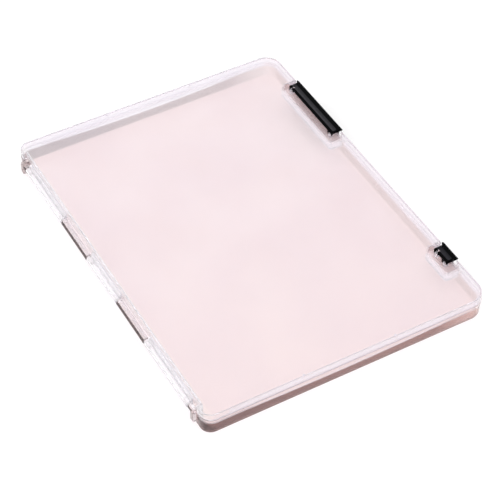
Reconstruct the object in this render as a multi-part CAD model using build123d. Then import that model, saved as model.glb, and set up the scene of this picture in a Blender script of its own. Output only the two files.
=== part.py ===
from build123d import *
import os

# A slim document case for A4 sheets: a tinted tray, a clear lid hinged along one long side,
# and two snap latches along the other. It is modelled closed, in millimetres.
# X runs from the hinge side to the latch side, Y from the near short side to the far one,
# Z is up, and the origin is on the table under the middle of the closed case.

# Outer sizes
rim_length = 308.0
rim_width = 228.0
closed_height = 19.0
parting_height = 13.0
barrel_proud = 0.5
latch_proud = 1.5

# Moulded walls
tray_wall = 1.5
tray_floor = 1.5
lid_wall = 1.3
lid_plate = 1.3
rim_band_height = 2.5
rim_band_proud = 0.8
lid_inset = 0.4
corner_radius = 13.0
tray_bottom_radius = 1.2
tray_inner_radius = 1.0
lid_edge_radius = 0.9
band_drop = 1.6
band_drop_length = 170.0

# Locating lip that drops inside the tray
lip_thickness = 1.0
lip_drop = 1.2
lip_clearance = 0.3
lip_bridge = 1.0
lip_hinge_gap = 16.0
lid_rib_width = 1.2
lid_rib_depth = 1.2
lid_rib_x = 36.5

# The corners beside the hinge reach out past its axis, so the lid stops against the tray when it is open
hip_reach = 0.4
hip_radius = 9.0
hip_relief = 0.3
hip_side_gap = 0.4
hip_band_proud = 0.2

# Hinge: five moulded lengths on one axis, with stub pins in through bores
barrel_radius = 2.8
hinge_height = 9.8
hinge_wall_gap = 0.3
pin_radius = 1.4
running_clearance = 0.06
pin_reach = 6.0
hinge_middle = 1.1
middle_barrel_half = 24.2
outer_barrel_start = 68.0
outer_barrel_margin = 21.8
knuckle_gap = 1.2
barrel_end_chamfer = 0.6
web_height = 1.8
web_slope = 2.5
arm_foot = 0.3
arm_gap = 0.5
arm_height = 3.5
lug_gap = 5.6
lug_length = 3.0
lug_bottom = 1.8
lug_edge_radius = 1.2
shoulder_radius = 2.3
shoulder_gap = 0.8

# Latches, each set in from its end of the case
long_latch_length = 67.0
long_latch_margin = 40.2
short_latch_length = 18.4
short_latch_margin = 41.5
latch_width = 10.2
latch_plate_depth = 1.8
latch_lip_rise = 0.3
latch_lip_overhang = 2.2
latch_spur_width = 2.0
latch_lip_width = 4.1
latch_inner_rim = 2.1
dish_depth = 0.9
dish_end_margin = 0.9
hook_margin = 5.0
hook_thickness = 1.1
hook_bottom = 7.4
nose_height = 1.8
nose_gap = 0.25
latch_pin_radius = 0.9
latch_pin_inset = 1.6
latch_pin_depth = 3.8
latch_edge = 0.5
notch_length = 3.0
arm_length = 1.1
tab_length = 2.0
tab_radius = 1.5
grip_pitch = 1.4
grip_depth = 0.25
groove_share = 0.6
grip_margin = 2.0
latch_lip_chamfer = 1.2

# Pockets in the lid round the latches
pocket_gap = 6.0
pocket_depth = 6.3
pocket_wall = 1.2
pocket_near_margin = 9.0
pocket_far_margin = 1.2
pocket_side_gap = 0.5
pocket_shoulder = 5.1
pocket_far_chamfer = 4.0
pocket_corner_radius = 1.5
pocket_seat_gap = 0.3
ear_thickness = 2.4
ear_gap = 0.3
ear_radius = 1.7
near_ear_margin = 1.6
catch_height = 1.9
catch_slope = 0.8

# Places worked out from the sizes above
overall_width = rim_width + barrel_proud + latch_proud
rim_x = overall_width / 2 - latch_proud
rim_y = rim_length / 2
outer_barrel_end = rim_y - outer_barrel_margin
lug_start = outer_barrel_end + lug_gap
recess_half = lug_start + lug_length
tray_x = rim_x - rim_band_proud
tray_y = rim_y - rim_band_proud
hinge_x = barrel_radius - overall_width / 2
hinge_wall_x = hinge_x + barrel_radius + hinge_wall_gap
hip_x = hinge_x - hip_reach
lid_x = rim_x - lid_inset
lid_y = rim_y - lid_inset
latch_outer_x = overall_width / 2
latch_inner_x = latch_outer_x - latch_width
latch_pin_x = latch_inner_x + latch_pin_inset
latch_pin_z = closed_height - latch_pin_depth
pocket_inner_x = latch_inner_x - pocket_gap
pocket_floor_top = closed_height - pocket_depth
pocket_bottom = pocket_floor_top - pocket_wall
notch_floor = pocket_bottom - pocket_seat_gap
knuckle_start = middle_barrel_half + knuckle_gap
knuckle_end = outer_barrel_start - knuckle_gap
latches = {
    "long_latch": (rim_y - long_latch_margin - long_latch_length, long_latch_length),
    "short_latch": (short_latch_margin - rim_y, short_latch_length),
}


def block(x0, x1, y0, y1, z0, z1):
    """A box between two corners."""
    return Pos((x0 + x1) / 2, (y0 + y1) / 2, (z0 + z1) / 2) * Box(x1 - x0, y1 - y0, z1 - z0)


def rod(x, z, radius, y0, y1):
    """A round bar along Y."""
    return Pos(x, (y0 + y1) / 2, z) * Rot(90, 0, 0) * Cylinder(radius, y1 - y0)


def prism(points, y0, y1):
    """A polygon in the XZ plane carried along Y."""
    face = make_face(Polyline(*[(x, 0, z) for x, z in points], close=True))
    return Pos(0, y0, 0) * extrude(face, y1 - y0, dir=(0, 1, 0))


def plan(x0, x1, half_y, hinge_radius, latch_radius):
    """A rectangle in plan with its own corner radius on each long side."""
    face = Pos((x0 + x1) / 2, 0) * Rectangle(x1 - x0, 2 * half_y)
    face = fillet(face.vertices().group_by(Axis.X)[0], hinge_radius)
    return fillet(face.vertices().group_by(Axis.X)[-1], latch_radius)


def outline(hip_inset, side_inset, wall_inset, recess_growth):
    """The case's plan with its recess for the hinge. Each inset moves its own side inwards,
    and the growth makes the recess longer at each end."""
    face = plan(
        hip_x + hip_inset, rim_x - side_inset, rim_y - side_inset, hip_radius - side_inset, corner_radius - side_inset
    )
    wall_x = hinge_wall_x + wall_inset
    depth = 2 * (wall_x - hip_x)
    return face - Pos(wall_x - depth / 2, hinge_middle) * Rectangle(depth, 2 * (recess_half + recess_growth))


def hook_span(near_y, length):
    """Where a latch's hook starts and ends along Y."""
    return near_y + hook_margin, near_y + length - hook_margin


def pocket_span(near_y, length):
    """Where a latch's pocket starts and ends along Y."""
    return near_y - pocket_near_margin, near_y + length + pocket_far_margin


def pocket_block(near_y, length, z0, z1, growth):
    """A pocket's space, or with a growth its walls: open to the case's side beside the latch,
    with a slanted wall from there to its near end and a cut far corner."""
    y0, y1 = pocket_span(near_y, length)
    side_y = near_y - pocket_side_gap
    face = make_face(
        Polyline(
            (latch_outer_x, side_y),
            (lid_x, side_y),
            (lid_x - pocket_shoulder, y0),
            (pocket_inner_x, y0),
            (pocket_inner_x, y1 - pocket_far_chamfer),
            (pocket_inner_x + pocket_far_chamfer, y1),
            (latch_outer_x, y1),
            close=True,
        )
    )
    face = fillet(face.vertices().group_by(Axis.X)[0], pocket_corner_radius)
    if growth:
        face = offset(face, growth)
    return Pos(0, 0, z0) * extrude(face, z1 - z0)


def pocket_side_start(near_y):
    """Where a pocket's slanted outer wall meets the tray's side wall, with room for its thickness."""
    slope = (pocket_near_margin - pocket_side_gap) / pocket_shoulder
    crossing_y = near_y - pocket_side_gap - slope * (lid_x - (tray_x - tray_wall))
    return crossing_y - (pocket_wall + pocket_seat_gap) * (1 + slope**2) ** 0.5


def tray_shell():
    """The tray's body and rim band, hollowed from above."""
    body = extrude(outline(hip_band_proud, rim_band_proud, 0, 0), parting_height)
    body = fillet(body.edges().group_by(Axis.Z)[0], tray_bottom_radius)
    body += Pos(0, 0, parting_height - rim_band_height) * extrude(outline(0, 0, 0, 0), rim_band_height)
    for side in (-1, 1):
        body += dropped_band(side)
    hollow = Pos(0, 0, tray_floor) * extrude(
        outline(hip_band_proud + tray_wall, rim_band_proud + tray_wall, tray_wall, tray_wall), parting_height
    )
    return body - fillet(hollow.edges().group_by(Axis.Z)[0], tray_inner_radius)


def dropped_band(side):
    """The rim band's lower edge bows down a little on each short side."""
    half = band_drop_length / 2
    edge_z = parting_height - rim_band_height
    chord = Line((-half, 0, edge_z), (half, 0, edge_z))
    bow = ThreePointArc((-half, 0, edge_z), (0, 0, edge_z - band_drop), (half, 0, edge_z))
    face = make_face([chord, bow])
    inner_y = tray_y - tray_wall / 2
    start = inner_y if side > 0 else -rim_y
    return Pos(0, start, 0) * extrude(face, rim_y - inner_y, dir=(0, 1, 0))


def along_hinge(side, inner, outer):
    """The near and far end along Y of a length between two distances from the hinge's middle."""
    return sorted((hinge_middle + side * inner, hinge_middle + side * outer))


def hinge_lug(y0, y1):
    """The tray's end lug: an upright ear, rounded at the top with the barrels."""
    outer_x = hinge_x - barrel_radius
    root_x = hinge_wall_x + tray_wall / 2
    lug = block(outer_x, root_x, y0, y1, lug_bottom, hinge_height)
    lug = fillet(lug.edges().filter_by(Axis.Y).group_by(Axis.X)[0].sort_by(Axis.Z)[0], lug_edge_radius)
    lug += rod(hinge_x, hinge_height, barrel_radius, y0, y1)
    return lug + block(hinge_x, root_x, y0, y1, lug_bottom, hinge_height + barrel_radius)


def tray_hinge():
    """Knuckles, end lugs and their stub pins, webbed to the tray's recessed wall."""
    root_x = hinge_wall_x + tray_wall / 2
    web = [
        (hinge_x, hinge_height - barrel_radius),
        (root_x, hinge_height - barrel_radius - web_slope),
        (root_x, hinge_height + web_height),
        (hinge_x, hinge_height + web_height),
    ]
    parts = []
    for side in (-1, 1):
        parts.append(prism(web, *along_hinge(side, knuckle_start, knuckle_end)))
        parts.append(hinge_lug(*along_hinge(side, lug_start, recess_half)))
        for radius, inner, outer in (
            (barrel_radius, knuckle_start, knuckle_end),
            (shoulder_radius, outer_barrel_end + shoulder_gap, recess_half),
            (pin_radius, middle_barrel_half - pin_reach, outer_barrel_start + pin_reach),
            (pin_radius, outer_barrel_end - pin_reach, recess_half),
        ):
            parts.append(rod(hinge_x, hinge_height, radius, *along_hinge(side, inner, outer)))
    return parts


def tray_catch(near_y, length):
    """The rib on the latch side that a latch's hook closes under."""
    root_x = tray_x - tray_wall / 2
    profile = [
        (root_x, notch_floor - catch_height - catch_slope),
        (rim_x, notch_floor - catch_height),
        (rim_x, notch_floor),
        (root_x, notch_floor),
    ]
    return prism(profile, *hook_span(near_y, length))


def make_base_tray():
    tray = tray_shell()
    for part in tray_hinge():
        tray += part
    for near_y, length in latches.values():
        y0 = pocket_side_start(near_y)
        y1 = pocket_span(near_y, length)[1] + pocket_wall + pocket_seat_gap
        tray -= block(tray_x - 2 * tray_wall, overall_width, y0, y1, notch_floor, closed_height)
        tray += tray_catch(near_y, length)
    return tray


def lid_shell():
    """The lid's plate and walls. Its hinge-side corners stand clear of the tray's, to swing past them."""
    height = closed_height - parting_height
    shell = extrude(outline(lid_inset, lid_inset, 0, hip_side_gap), height)
    shell = fillet(shell.edges().group_by(Axis.Z)[-1], lid_edge_radius)
    inset = lid_inset + lid_wall
    shell -= extrude(outline(inset, inset, lid_wall, hip_side_gap + lid_wall), height - lid_plate)
    shell -= block(hip_x, hinge_wall_x, -rim_y, rim_y, 0, hip_relief)
    return Pos(0, 0, parting_height) * shell


def lid_lip():
    """A lip on three sides, stepped in from the lid's walls to clear the tray's."""
    inset = tray_wall + lip_clearance
    lip_x = tray_x - inset
    lip_y = tray_y - inset
    start_x = hinge_wall_x + lip_hinge_gap
    radius = corner_radius - rim_band_proud - inset
    far_side_x = start_x - 2 * radius
    inner_radius = radius - lip_thickness
    outside = plan(far_side_x, lip_x, lip_y, radius, radius)
    inside = plan(far_side_x, lip_x - lip_thickness, lip_y - lip_thickness, inner_radius, inner_radius)
    bridge = plan(far_side_x, lid_x - lid_wall / 2, lid_y - lid_wall / 2, radius, corner_radius - lid_wall)
    lip = Pos(0, 0, parting_height - lip_drop) * extrude(outside - inside, lip_drop + lip_bridge)
    lip += Pos(0, 0, parting_height) * extrude(bridge - inside, lip_bridge)
    return lip - block(far_side_x, start_x, -rim_y, rim_y, 0, closed_height)


def lid_barrels():
    """Three clear barrels with the arms that carry them from the lid's hinge wall."""
    root_x = hinge_wall_x + lid_wall / 2
    arm = [
        (hinge_x, hinge_height + barrel_radius),
        (root_x, parting_height + arm_height),
        (root_x, parting_height + arm_foot),
        (hinge_wall_x - arm_foot, parting_height + arm_foot),
        (hinge_wall_x - arm_gap, hinge_height + arm_gap),
        (hinge_x, hinge_height),
    ]
    spans = [
        along_hinge(-1, outer_barrel_start, outer_barrel_end),
        along_hinge(1, -middle_barrel_half, middle_barrel_half),
        along_hinge(1, outer_barrel_start, outer_barrel_end),
    ]
    barrels = []
    for y0, y1 in spans:
        tube = rod(hinge_x, hinge_height, barrel_radius, y0, y1)
        tube = chamfer(tube.edges().filter_by(GeomType.CIRCLE), barrel_end_chamfer)
        tube += prism(arm, y0 + barrel_end_chamfer, y1 - barrel_end_chamfer)
        barrels.append(tube - rod(hinge_x, hinge_height, pin_radius + running_clearance, y0, y1))
    return barrels


def latch_ear(y0):
    """A clear ear that stands on a pocket's floor, round a latch's axis."""
    ear = block(
        latch_pin_x - ear_radius,
        latch_pin_x + ear_radius,
        y0,
        y0 + ear_thickness,
        pocket_floor_top - pocket_wall / 2,
        latch_pin_z,
    )
    return ear + rod(latch_pin_x, latch_pin_z, ear_radius, y0, y0 + ear_thickness)


def notch_span(near_y, length):
    """The notch in a latch's far inner corner, where the far ear shows."""
    end = near_y + length - latch_lip_overhang - arm_length
    return end - notch_length, end


def ear_places(near_y, length):
    """Where a latch's two ears start: one under its near end, one in its notch."""
    return near_y + near_ear_margin, notch_span(near_y, length)[0] + (notch_length - ear_thickness) / 2


def latch_mount(near_y, length):
    """The two bored ears that carry one latch."""
    ears = []
    for y0 in ear_places(near_y, length):
        bore = rod(latch_pin_x, latch_pin_z, latch_pin_radius + running_clearance, y0, y0 + ear_thickness)
        ears.append(latch_ear(y0) - bore)
    return ears


def make_lid():
    lid = lid_shell()
    lip = lid_lip()
    for near_y, length in latches.values():
        y0, y1 = pocket_span(near_y, length)
        tub = pocket_block(near_y, length, pocket_bottom, closed_height - lid_edge_radius, pocket_wall)
        lid += tub - block(lid_x, overall_width, -rim_y, rim_y, 0, closed_height)
        lid -= pocket_block(near_y, length, pocket_floor_top, closed_height, 0)
        lip -= block(pocket_inner_x, rim_x, y0 - pocket_wall, y1 + pocket_wall, 0, closed_height)
    lid += lip
    for near_y, length in latches.values():
        for ear in latch_mount(near_y, length):
            lid += ear
    for barrel in lid_barrels():
        lid += barrel
    rib_y = lid_y - lid_wall / 2
    for x in (-lid_rib_x, lid_rib_x):
        for side in (-1, 1):
            y0, y1 = sorted((side * rib_y, side * (rib_y - lid_wall / 2 - lid_rib_depth)))
            lid += block(x - lid_rib_width / 2, x + lid_rib_width / 2, y0, y1,
                         parting_height + lip_bridge / 2, closed_height - lid_plate / 2)
    return lid


def latch_dish(near_y, plate_far_y):
    """The shallow finger dish: the lower cap of a cylinder along Y, let into the plate."""
    inner_edge = latch_inner_x + latch_inner_rim
    outer_edge = latch_outer_x - latch_lip_width
    half = (outer_edge - inner_edge) / 2
    radius = (half**2 + dish_depth**2) / (2 * dish_depth)
    centre_x = (inner_edge + outer_edge) / 2
    centre_z = closed_height - dish_depth + radius
    return rod(centre_x, centre_z, radius, near_y + dish_end_margin, plate_far_y - arm_length)


def grip_groove(y):
    """One small groove across the chamfer of a latch's lip."""
    thickness = latch_lip_chamfer
    reach = (thickness / 2 - grip_depth) / 2**0.5
    x = latch_outer_x - latch_lip_chamfer / 2 + reach
    z = closed_height + latch_lip_rise - latch_lip_chamfer / 2 + reach
    return Pos(x, y, z) * Rot(0, 45, 0) * Box(3 * latch_lip_chamfer, grip_pitch * groove_share, thickness)


def latch_tab(y0, y1, ear_end_y):
    """A tab under a latch's plate with a stub pin, which reaches to the far side of its ear."""
    plate_middle = closed_height - latch_plate_depth / 2
    tab = block(latch_pin_x - tab_radius, latch_pin_x + tab_radius, y0, y1, latch_pin_z, plate_middle)
    tab += rod(latch_pin_x, latch_pin_z, tab_radius, y0, y1)
    return tab + rod(latch_pin_x, latch_pin_z, latch_pin_radius, ear_end_y, (y0 + y1) / 2)


def latch_hook(near_y, length):
    """The hook down the case's side, with the nose that closes under the tray's catch."""
    inner_x = latch_outer_x - hook_thickness
    nose_x = rim_x + nose_gap
    nose_top = hook_bottom + nose_height
    root_z = closed_height - latch_plate_depth / 2
    profile = [
        (nose_x, hook_bottom + latch_edge),
        (nose_x + latch_edge, hook_bottom),
        (latch_outer_x - latch_edge, hook_bottom),
        (latch_outer_x, hook_bottom + latch_edge),
        (latch_outer_x, root_z),
        (inner_x, root_z),
        (inner_x, nose_top + inner_x - nose_x),
        (nose_x, nose_top),
    ]
    return prism(profile, *hook_span(near_y, length))


def make_latch(near_y, length):
    """A latch: a dished plate, an outer lip with grip grooves, a hook, and two tabs with pins."""
    far_y = near_y + length
    plate_far_y = far_y - latch_lip_overhang
    plate_bottom = closed_height - latch_plate_depth
    top = closed_height + latch_lip_rise
    lip_x = latch_outer_x - latch_lip_width
    latch = prism(
        [
            (latch_inner_x, plate_bottom + latch_edge),
            (latch_inner_x + latch_edge, plate_bottom),
            (lip_x + latch_edge, plate_bottom),
            (lip_x + latch_edge, closed_height),
            (latch_inner_x + latch_edge, closed_height),
            (latch_inner_x, closed_height - latch_edge),
        ],
        near_y,
        plate_far_y,
    )
    lip = prism(
        [
            (lip_x, plate_bottom),
            (latch_outer_x - latch_edge, plate_bottom),
            (latch_outer_x, plate_bottom + latch_edge),
            (latch_outer_x, top - latch_lip_chamfer),
            (latch_outer_x - latch_lip_chamfer, top),
            (lip_x + latch_lip_rise, top),
            (lip_x, closed_height),
        ],
        near_y,
        far_y,
    )
    latch += lip - block(0, latch_outer_x - latch_spur_width, plate_far_y, far_y, 0, 2 * closed_height)
    latch += latch_hook(near_y, length)
    latch -= latch_dish(near_y, plate_far_y)
    notch_start, notch_end = notch_span(near_y, length)
    latch -= block(0, latch_pin_x + ear_radius + ear_gap, notch_start, notch_end, 0, 2 * closed_height)
    near_ear_y, far_ear_y = ear_places(near_y, length)
    tab_start = near_ear_y + ear_thickness + ear_gap
    latch += latch_tab(tab_start, tab_start + tab_length, near_ear_y)
    latch += latch_tab(notch_end, notch_end + arm_length, far_ear_y)
    grooves = int((length - 2 * grip_margin) / grip_pitch)
    first_y = near_y + (length - (grooves - 1) * grip_pitch) / 2
    for index in range(grooves):
        latch -= grip_groove(first_y + index * grip_pitch)
    return latch


parts = {"base_tray": make_base_tray(), "lid": make_lid()}
for name, (near_y, length) in latches.items():
    parts[name] = make_latch(near_y, length)

os.makedirs("parts", exist_ok=True)
for name, solid in parts.items():
    print(name, "solids", len(solid.solids()), "volume", round(solid.volume, 1))
    export_step(solid, f"parts/{name}.step")
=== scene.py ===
# %% [markdown]
# # A slim document case in Blender
# The case is four injection mouldings: a tinted tray, a clear hazy lid hinged along one long side,
# and two black latches along the other. Their shapes come from the CAD model, which is loaded here
# as a fixed frame, and this file gives them their finish, the light and the camera.

# %% Load the CAD frame
import math

import bpy
import numpy as np
from mathutils import Matrix, Vector


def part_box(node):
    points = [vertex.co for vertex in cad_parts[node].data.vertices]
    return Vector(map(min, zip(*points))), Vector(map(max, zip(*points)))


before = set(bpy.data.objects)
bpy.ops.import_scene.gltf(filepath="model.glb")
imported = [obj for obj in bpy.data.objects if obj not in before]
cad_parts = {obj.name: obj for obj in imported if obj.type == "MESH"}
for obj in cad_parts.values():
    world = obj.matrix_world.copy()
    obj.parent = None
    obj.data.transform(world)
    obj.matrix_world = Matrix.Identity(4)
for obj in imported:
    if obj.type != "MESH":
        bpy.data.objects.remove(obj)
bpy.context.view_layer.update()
print("nodes:", sorted(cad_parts))

# %% [markdown]
# ## The camera
# The case was photographed from its hinge side and its near short side at once, looking down about
# 46 degrees with a long lens, so its parallel edges stay nearly parallel in the picture.
# A camera can be aimed with a constraint at an empty, or by hand. Here three angles and a place
# give its matrix directly, which keeps the small roll of the photograph.

# %% Camera
azimuth = math.radians(28.815)
elevation = math.radians(45.631)
roll = math.radians(-0.478)
camera_place = (-0.424898, -0.784449, 0.896332)
sensor_mm = 36.0
focal_share = 3.410312
nearest_seen = 0.05

camera_data = bpy.data.cameras.new("camera")
camera_data.sensor_width = sensor_mm
camera_data.lens = focal_share * sensor_mm
camera_data.clip_start = nearest_seen
camera = bpy.data.objects.new("camera", camera_data)
bpy.context.scene.collection.objects.link(camera)
camera.matrix_world = (
    Matrix.Translation(camera_place)
    @ Matrix.Rotation(-azimuth, 4, "Z")
    @ Matrix.Rotation(math.pi / 2 - elevation, 4, "X")
    @ Matrix.Rotation(roll, 4, "Z")
)
bpy.context.scene.camera = camera
print("camera:", [round(v, 3) for v in camera.location], "lens", round(camera_data.lens, 2))

# %% [markdown]
# ## Helpers for the materials
# Every finish below is a Principled shader fed by patterns in the piece's own Object coordinates,
# so a pattern keeps its real size in metres and stays put when a piece turns on its hinge.
# The helpers only join nodes: one makes a material, one a noise, one maps a value onto a range,
# one mixes two colours, one tilts the surface, and one dresses a piece. Writing them once keeps
# each finish short enough to read.

# %% Material helpers
range_inputs = slice(1, 5)
colour_inputs = slice(6, 8)
colour_output = 2


def new_material(name):
    """A material with one Principled shader, and the Object coordinates that its patterns use."""
    material = bpy.data.materials.new(name)
    material.use_nodes = True
    tree = material.node_tree
    shader = tree.nodes["Principled BSDF"]
    coords = tree.nodes.new("ShaderNodeTexCoord").outputs["Object"]
    return material, tree, shader, coords


def noise(tree, coords, scale, detail, stretch=(1, 1, 1)):
    """Fractal noise from 0 to 1, with `scale` cells per metre, stretched by a factor on each axis."""
    mapping = tree.nodes.new("ShaderNodeMapping")
    mapping.inputs["Scale"].default_value = stretch
    tree.links.new(coords, mapping.inputs["Vector"])
    node = tree.nodes.new("ShaderNodeTexNoise")
    node.inputs["Scale"].default_value = scale
    node.inputs["Detail"].default_value = detail
    tree.links.new(mapping.outputs["Vector"], node.inputs["Vector"])
    return node.outputs["Fac"]


def remap(tree, value, low, high, new_low, new_high):
    """The value's part from low to high, moved linearly onto new_low to new_high, and clamped."""
    node = tree.nodes.new("ShaderNodeMapRange")
    for socket, number in zip(node.inputs[range_inputs], (low, high, new_low, new_high)):
        socket.default_value = number
    tree.links.new(value, node.inputs["Value"])
    return node.outputs["Result"]


def mix_colour(tree, factor, first, second):
    """Goes linearly from the first colour, at 0, to the second, at 1. Either may be a socket."""
    node = tree.nodes.new("ShaderNodeMix")
    node.data_type = "RGBA"
    tree.links.new(factor, node.inputs["Factor"])
    for socket, colour in zip(node.inputs[colour_inputs], (first, second)):
        if isinstance(colour, tuple):
            socket.default_value = (*colour, 1.0)
        else:
            tree.links.new(colour, socket)
    return node.outputs[colour_output]


def add_bump(tree, shader, height, distance, strength):
    """Tilts the shader's normal by the slope of the height, where 1 is `distance` metres."""
    node = tree.nodes.new("ShaderNodeBump")
    node.inputs["Strength"].default_value = strength
    node.inputs["Distance"].default_value = distance
    tree.links.new(height, node.inputs["Height"])
    tree.links.new(node.outputs["Normal"], shader.inputs["Normal"])


def dress(node, material):
    """Puts one material in every slot of a CAD node, which keeps its mesh as it is."""
    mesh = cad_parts[node].data
    mesh.materials.clear()
    mesh.materials.append(material)


# %% [markdown]
# ## Places on the tray and the lid
# The floor, the walls and the rim band of one moulding are given different colours: the floor its
# tint, the walls their tint with painted shade, and the rim band a painted highlight. One could cut
# the mesh and give each part its own material. A pattern that knows where it is does the same with
# less: a mask goes from 0 to 1 across a limit on the piece's own coordinates, and the finishes below
# mix their colours by it. A mask multiplied by another is 1 where both are.

# %% Place masks


def arithmetic(tree, operation, first, second=None):
    """One Math node. Each operand may be a socket or a number."""
    node = tree.nodes.new("ShaderNodeMath")
    node.operation = operation
    for socket, value in zip(node.inputs, (first, second)):
        if isinstance(value, (int, float)):
            socket.default_value = value
        elif value is not None:
            tree.links.new(value, socket)
    return node.outputs[0]


def axes(tree, coords):
    """The three coordinates as separate values."""
    node = tree.nodes.new("ShaderNodeSeparateXYZ")
    tree.links.new(coords, node.inputs[0])
    return node.outputs


def over(tree, value, limit, soft):
    """0 where a value is under a limit, and 1 from `soft` over it."""
    return remap(tree, value, limit, limit + soft, 0, 1)


def under(tree, value, limit, soft):
    """1 where a value is under a limit, and 0 from `soft` over it."""
    return remap(tree, value, limit, limit + soft, 1, 0)


def outside(tree, coords, low_x, high_x, half_y, radius, soft):
    """0 inside a rectangle with round corners in plan, and 1 from `soft` metres outside it.
    How far a point lies over low_x or high_x, and over half_y, each counted from `radius` further in
    and never under 0, are the two sides of a right angle: its long side is compared with the radius."""
    x, y, _ = axes(tree, coords)
    before = arithmetic(tree, "SUBTRACT", low_x + radius, x)
    behind = arithmetic(tree, "SUBTRACT", x, high_x - radius)
    beside = arithmetic(tree, "SUBTRACT", arithmetic(tree, "ABSOLUTE", y), half_y - radius)
    across = arithmetic(tree, "MAXIMUM", arithmetic(tree, "MAXIMUM", before, behind), 0.0)
    along = arithmetic(tree, "MAXIMUM", beside, 0.0)
    squares = [arithmetic(tree, "MULTIPLY", side, side) for side in (across, along)]
    long_side = arithmetic(tree, "SQRT", arithmetic(tree, "ADD", *squares))
    return over(tree, long_side, radius, soft)


def on_band(tree, coords, edge, drop, half_length, soft):
    """1 on the rim band, whose lower edge dips in the middle of each short side:
    z is above edge - drop * (1 - (x / half_length) squared), and the dip ends at half_length."""
    x, _, z = axes(tree, coords)
    share = arithmetic(tree, "DIVIDE", x, half_length)
    dip = arithmetic(tree, "SUBTRACT", 1.0, arithmetic(tree, "MULTIPLY", share, share))
    depth = arithmetic(tree, "MULTIPLY", arithmetic(tree, "MAXIMUM", dip, 0.0), drop)
    return over(tree, arithmetic(tree, "ADD", z, depth), edge, soft)


# %% [markdown]
# ## Clear and tinted polypropylene
# Both mouldings are the same plastic: it lets light through with a little haze, the tray with a
# pinkish-brown tint. It bends the light as glass does, so edges and corners gather darker lines by
# themselves, and a volume takes more light away where the path is long. Lamps can't be found
# through bent light without much noise, so rays towards lamps and rays from matt surfaces
# go straight through, tinted: two Mix Shaders fed by Light Path choose a Transparent shader then.

# %% Plastic finish
refraction = 1.49
cloud_scale, cloud_detail, cloud_range = 18, 4, (0.3, 0.7)
scratch_scale, scratch_detail, scratch_range = 90, 2, (0.62, 0.7)
scratch_stretch = (1, 14, 1)
scratch_share = 0.4
grain_scale, grain_detail = 900, 2
plastic_bump, plastic_bump_strength = 0.00002, 0.5
cloud_haze = 0.4


def clear_plastic(name, surface, absorbed, density, straight, haze, transmission):
    """Plastic that keeps exp(-density * (1 - absorbed colour) * metres) of each colour of light.
    `surface` makes the colour and the walls' mask from the tree, its coordinates and the clouds,
    `straight` is the share of light that each surface lets straight through, and `haze` the
    roughness in clear places and on the walls."""
    material, tree, shader, coords = new_material(name)
    clouds = remap(tree, noise(tree, coords, cloud_scale, cloud_detail), *cloud_range, 0, 1)
    scratches = noise(tree, coords, scratch_scale, scratch_detail, scratch_stretch)
    grain = noise(tree, coords, grain_scale, grain_detail)
    colour, walls = surface(tree, coords, clouds)
    haze_share = arithmetic(tree, "MAXIMUM", arithmetic(tree, "MULTIPLY", clouds, cloud_haze), walls)
    tree.links.new(colour, shader.inputs["Base Color"])
    tree.links.new(remap(tree, haze_share, 0, 1, *haze), shader.inputs["Roughness"])
    shader.inputs["Transmission Weight"].default_value = transmission
    shader.inputs["IOR"].default_value = refraction
    height = arithmetic(tree, "ADD", grain, remap(tree, scratches, *scratch_range, 0, scratch_share))
    add_bump(tree, shader, height, plastic_bump, plastic_bump_strength)
    volume = tree.nodes.new("ShaderNodeVolumeAbsorption")
    volume.inputs["Color"].default_value = (*absorbed, 1.0)
    volume.inputs["Density"].default_value = density
    path = tree.nodes.new("ShaderNodeLightPath")
    seen = shader.outputs[0]
    for ray in ("Is Diffuse Ray", "Is Shadow Ray"):
        straight_on = tree.nodes.new("ShaderNodeBsdfTransparent")
        straight_on.inputs["Color"].default_value = (*straight, 1.0)
        either = tree.nodes.new("ShaderNodeMixShader")
        tree.links.new(path.outputs[ray], either.inputs[0])
        tree.links.new(seen, either.inputs[1])
        tree.links.new(straight_on.outputs[0], either.inputs[2])
        seen = either.outputs[0]
    output = tree.nodes["Material Output"]
    tree.links.new(seen, output.inputs["Surface"])
    tree.links.new(volume.outputs[0], output.inputs["Volume"])
    return material


# %% [markdown]
# ## The tinted tray
# Seen through the lid the floor is pale pink. The walls have a pinkish-brown tint with painted shade
# on it, darkest by the hinge and lighter towards the latches, the corners and the latch side. The
# thicker rim band is painted nearly white, a painted highlight, and the hinge side between the hips
# is milky with painted light on it. The near end lug gets painted shade and the far one painted
# light. Only the outermost strip of the hinge's knuckles and shoulders is dark with painted shade
# and dull, so it loses its highlights as well as its colour.

# %% Tray
tray_inside = {"low_x": -0.1065, "high_x": 0.1104, "half_y": 0.1508, "radius": 0.006, "soft": 0.0006}
band_place = {"edge": 0.0101, "drop": 0.0029, "half_length": 0.085, "soft": 0.0004}
hinge_side_x = -0.1067
strip_x = -0.1141
x_soft = 0.0002
strip_half_y = 0.1374
lug_half_y = 0.1375
y_soft = 0.0003
hip_half_y, hip_soft = 0.1409, 0.0004
latch_wall_x, latch_wall_soft = 0.1085, 0.0019
near_far_y = (-0.12, 0.02)
# Where the painted shade on the walls fades: along x towards the latches, and into the corners.
wall_shade_fade_x = (-0.1, 0.08)
corner_shade_fade_x = (0.07, 0.098)
lug_light_fade_y = (-0.1, 0.1)

floor_near, floor_far, floor_cloud = (0.935, 0.75, 0.7), (0.945, 0.8, 0.77), (0.895, 0.715, 0.68)
# The wall colours hold painted shade: darkest by the hinge, lighter towards the latches, the corners
# and the latch side.
shaded_wall_by_hinge, shaded_wall_by_latches = (0.255, 0.172, 0.17), (0.43, 0.3, 0.28)
wall_corner, wall_latch_side = (0.74, 0.6, 0.57), (0.64, 0.46, 0.42)
# The rim band's near-white colours are a painted highlight on the rounded flange.
rim_highlight_short_side, rim_highlight_latch_side = (0.95, 0.955, 0.985), (0.92, 0.85, 0.86)
# The hinge side's near white is milky plastic with painted light on it.
hinge_milk_and_light, strip_painted_shade = (0.995, 0.985, 1.0), (0.03, 0.022, 0.021)
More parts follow.
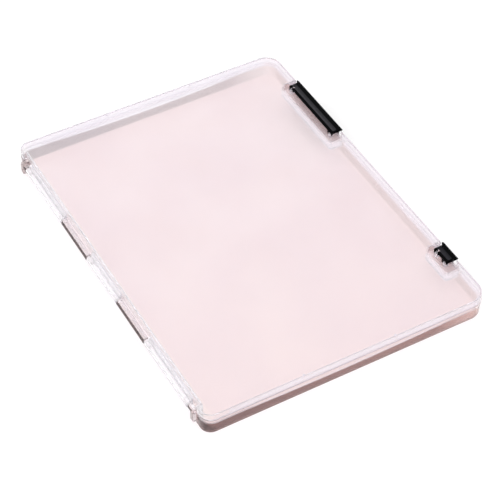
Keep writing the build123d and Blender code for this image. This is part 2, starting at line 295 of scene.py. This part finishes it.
# The lugs are two like parts: the near one gets painted shade, the far one painted light.
lug_near_shaded, lug_far_lit = (0.7, 0.64, 0.64), (1.0, 0.99, 0.98)
usual_level, strip_level = 0.5, 0.03


def shaded_strip_mask(tree, coords):
    """1 on the outermost side of the hinge knuckles and shoulders, between the end lugs, where painted
    shade goes.
    """
    x, y, _ = axes(tree, coords)
    between_lugs = under(tree, arithmetic(tree, "ABSOLUTE", y), strip_half_y, y_soft)
    return arithmetic(tree, "MULTIPLY", under(tree, x, strip_x, x_soft), between_lugs)


def tray_look(tree, coords, clouds):
    """The tray's colour, from the floor out to the walls, the rim band and the hinge side, with painted
    shade, a painted highlight and painted light in it.
    """
    x, y, _ = axes(tree, coords)
    size_y = arithmetic(tree, "ABSOLUTE", y)
    pale = mix_colour(tree, remap(tree, y, *near_far_y, 0, 1), floor_near, floor_far)
    floor_pink = mix_colour(tree, clouds, pale, floor_cloud)
    # Painted shade on the walls: dark brown by the hinge, lighter towards the latches, the corners and
    # the latch side.
    shaded_short_wall = mix_colour(tree, remap(tree, x, *wall_shade_fade_x, 0, 1), shaded_wall_by_hinge, shaded_wall_by_latches)
    wall_brown_and_shade = mix_colour(tree, remap(tree, x, *corner_shade_fade_x, 0, 1), shaded_short_wall, wall_corner)
    latch_side = over(tree, x, latch_wall_x, latch_wall_soft)
    wall_tint_and_shade = mix_colour(tree, latch_side, wall_brown_and_shade, wall_latch_side)
    walls = outside(tree, coords, **tray_inside)
    body = mix_colour(tree, walls, floor_pink, wall_tint_and_shade)
    # Painted highlight: the rim band is mixed towards near white.
    rim = arithmetic(tree, "MULTIPLY", walls, on_band(tree, coords, **band_place))
    painted_rim_highlight = mix_colour(tree, latch_side, rim_highlight_short_side, rim_highlight_latch_side)
    with_rim_highlight = mix_colour(tree, rim, body, painted_rim_highlight)
    between_hips = under(tree, size_y, hip_half_y, hip_soft)
    hinge_side = arithmetic(tree, "MULTIPLY", under(tree, x, hinge_side_x, x_soft), between_hips)
    # Painted shade on the near lug, fading to painted light on the far one.
    lug_shade_and_light = mix_colour(tree, remap(tree, y, *lug_light_fade_y, 0, 1), lug_near_shaded, lug_far_lit)
    # Milky plastic with painted light on the tray's hinge side.
    milk_and_light = mix_colour(tree, over(tree, size_y, lug_half_y, y_soft), hinge_milk_and_light, lug_shade_and_light)
    dressed = mix_colour(tree, hinge_side, with_rim_highlight, milk_and_light)
    # Painted shade: the outermost strip of the hinge is mixed towards dark.
    return mix_colour(tree, shaded_strip_mask(tree, coords), dressed, strip_painted_shade), walls


def dull_strip(material):
    """Takes the specular level from the usual one down to nearly none on the strip of painted shade."""
    tree = material.node_tree
    coords = next(node for node in tree.nodes if node.type == "TEX_COORD").outputs["Object"]
    level = remap(tree, shaded_strip_mask(tree, coords), 0, 1, usual_level, strip_level)
    tree.links.new(level, tree.nodes["Principled BSDF"].inputs["Specular IOR Level"])


tray_plastic = clear_plastic(
    "tinted_plastic",
    tray_look,
    absorbed=(0.7, 0.4, 0.38),
    density=12.0,
    straight=(0.97, 0.935, 0.93),
    haze=(0.08, 0.18),
    transmission=0.86,
)
dull_strip(tray_plastic)
dress("base_tray", tray_plastic)
print("tray:", tray_plastic.name, "nodes", len(tray_plastic.node_tree.nodes))

# %% [markdown]
# ## The clear lid
# The lid is nearly clear on top, with cloudy places a little more violet. Its side walls and its
# latch side, with the pockets, are milky, and its hinge side is painted whiter, as painted light.

# %% Lid
lid_inside = {"low_x": -0.1065, "high_x": 0.0985, "half_y": 0.1505, "radius": 0.006, "soft": 0.001}
lid_clear, lid_cloud = (0.98, 0.965, 0.985), (0.955, 0.935, 0.97)
# The lid's hinge side is painted whiter than its milky walls, as painted light.
lid_milk, lid_hinge_painted_light = (0.985, 0.96, 0.985), (1.0, 0.995, 1.0)


def lid_look(tree, coords, clouds):
    """The lid's colour, from the plate out to the walls and the hinge side, which gets painted light.
    """
    x, _, _ = axes(tree, coords)
    top = mix_colour(tree, clouds, lid_clear, lid_cloud)
    walls = outside(tree, coords, **lid_inside)
    milk_and_light = mix_colour(tree, under(tree, x, hinge_side_x, x_soft), lid_milk, lid_hinge_painted_light)
    return mix_colour(tree, walls, top, milk_and_light), walls


lid_plastic = clear_plastic(
    "clear_plastic",
    lid_look,
    absorbed=(0.7, 0.6, 0.9),
    density=8.0,
    straight=(0.985, 0.978, 0.998),
    haze=(0.06, 0.14),
    transmission=0.78,
)
dress("lid", lid_plastic)
print("lid:", lid_plastic.name, "nodes", len(lid_plastic.node_tree.nodes))

# %% [markdown]
# ## Black latches with a grey dish
# The latches are glossy black with a dark grey finger dish, whose grey is a painted sheen. Two
# materials on two sets of faces would need the mesh cut, so one material tells the dish by its place
# instead: inside the rims, the lip and the two ends, in plan, the surface is greyer and rougher. The
# limits count from the node's own box. The grey is lighter towards the inner rim, a painted highlight,
# and has a fine mottle.

# %% Latch finish
lip_width = 0.0041
inner_rim = 0.0021
end_rim = 0.0018
dish_soft = 0.0004
mottle_scale, mottle_detail, mottle_range, mottle_low = 700, 4, (0.3, 0.7), 0.6
highlight_by_lip = 0.3
rim_black, dish_dark = (0.001, 0.001, 0.0015), (0.004, 0.004, 0.005)
rim_roughness, dish_roughness = 0.25, 0.5
latch_level = 0.03
latch_bump, latch_bump_strength = 0.00003, 0.4
# The dish greys are a painted sheen, one for each latch.
dish_sheen_greys = {"long_latch": (0.085, 0.083, 0.092), "short_latch": (0.055, 0.053, 0.062)}


def latch_finish(node, dish_sheen_grey):
    """Black plastic, with a grey satin dish where four masks, one for each side, are all 1. The grey is
    a painted sheen, lighter towards the inner rim as a painted highlight.
    """
    low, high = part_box(node)
    material, tree, shader, coords = new_material("black_" + node)
    x, y, _ = axes(tree, coords)
    dish_start, dish_end = low.x + inner_rim, high.x - lip_width
    dish = over(tree, x, dish_start, dish_soft)
    for mask in (
        under(tree, x, dish_end - dish_soft, dish_soft),
        over(tree, y, low.y + end_rim, dish_soft),
        under(tree, y, high.y - end_rim - dish_soft, dish_soft),
    ):
        dish = arithmetic(tree, "MULTIPLY", dish, mask)
    mottle = noise(tree, coords, mottle_scale, mottle_detail)
    # Painted highlight: the dish's grey is lighter towards the inner rim.
    dish_highlight = remap(tree, x, dish_start, dish_end, 1, highlight_by_lip)
    highlight_and_mottle = arithmetic(tree, "MULTIPLY", dish_highlight, remap(tree, mottle, *mottle_range, mottle_low, 1))
    grey = mix_colour(tree, highlight_and_mottle, dish_dark, dish_sheen_grey)
    tree.links.new(mix_colour(tree, dish, rim_black, grey), shader.inputs["Base Color"])
    tree.links.new(remap(tree, dish, 0, 1, rim_roughness, dish_roughness), shader.inputs["Roughness"])
    shader.inputs["Specular IOR Level"].default_value = latch_level
    add_bump(tree, shader, mottle, latch_bump, latch_bump_strength)
    return material


for latch, dish_sheen_grey in dish_sheen_greys.items():
    dress(latch, latch_finish(latch, dish_sheen_grey))
    print("latch:", latch, "with a dish of grey", dish_sheen_grey)

# %% [markdown]
# ## The floor
# The photograph is a studio packshot: a white sweep with almost no shadow. The floor is a plane of
# white paint that is seen a little brighter than it is lit, straight, bent or reflected, so it
# reaches white and still keeps the soft shadow.

# %% Floor
floor_half = 3.0
floor_drop = 0.0001
floor_roughness, floor_level = 0.9, 0.1
floor_glow = 0.08
speckle_scale, speckle_detail = 40, 2
paint_low, paint_high = (0.93, 0.93, 0.93), (0.95, 0.95, 0.95)

floor_mesh = bpy.data.meshes.new("floor")
floor_corners = [(x * floor_half, y * floor_half, 0) for x, y in ((-1, -1), (1, -1), (1, 1), (-1, 1))]
floor_mesh.from_pydata(floor_corners, [], [(0, 1, 2, 3)])
floor = bpy.data.objects.new("floor", floor_mesh)
bpy.context.scene.collection.objects.link(floor)
floor_paint, tree, shader, coords = new_material("white_floor")
shader.inputs["Roughness"].default_value = floor_roughness
shader.inputs["Specular IOR Level"].default_value = floor_level
speckle = noise(tree, coords, speckle_scale, speckle_detail)
tree.links.new(mix_colour(tree, speckle, paint_low, paint_high), shader.inputs["Base Color"])
path = tree.nodes.new("ShaderNodeLightPath")
seen = path.outputs["Is Camera Ray"]
for ray in ("Is Transmission Ray", "Is Glossy Ray"):
    seen = arithmetic(tree, "MAXIMUM", seen, path.outputs[ray])
shader.inputs["Emission Color"].default_value = (1, 1, 1, 1)
tree.links.new(remap(tree, seen, 0, 1, 0, floor_glow), shader.inputs["Emission Strength"])
floor_mesh.materials.append(floor_paint)
floor.location.z = -floor_drop
print("floor:", 2 * floor_half, "m square")

# %% [markdown]
# ## Light
# The world gives most of the light and two wide lamps give it a direction. Each lamp is a square
# that faces the case, which lies at the origin.

# %% Light
world_strength = 1.0
lamps = {"key": ((-0.9, 0.9, 1.6), 1.2, 3.5), "fill": ((1.2, -0.6, 1.4), 1.5, 2.0)}

scene = bpy.context.scene
scene.view_settings.view_transform = "Standard"
world = bpy.data.worlds.new("studio")
scene.world = world
world.use_nodes = True
world_light = world.node_tree.nodes["Background"]
world_light.inputs["Color"].default_value = (1, 1, 1, 1)
world_light.inputs["Strength"].default_value = world_strength


def lamp(name, place, size, power):
    """A square area lamp of `size` metres and `power` watts at one place, facing the origin."""
    data = bpy.data.lights.new(name, "AREA")
    data.size = size
    data.energy = power
    obj = bpy.data.objects.new(name, data)
    obj.location = place
    obj.rotation_euler = (-Vector(place)).to_track_quat("-Z", "Y").to_euler()
    scene.collection.objects.link(obj)


for name, (place, size, power) in lamps.items():
    lamp(name, place, size, power)
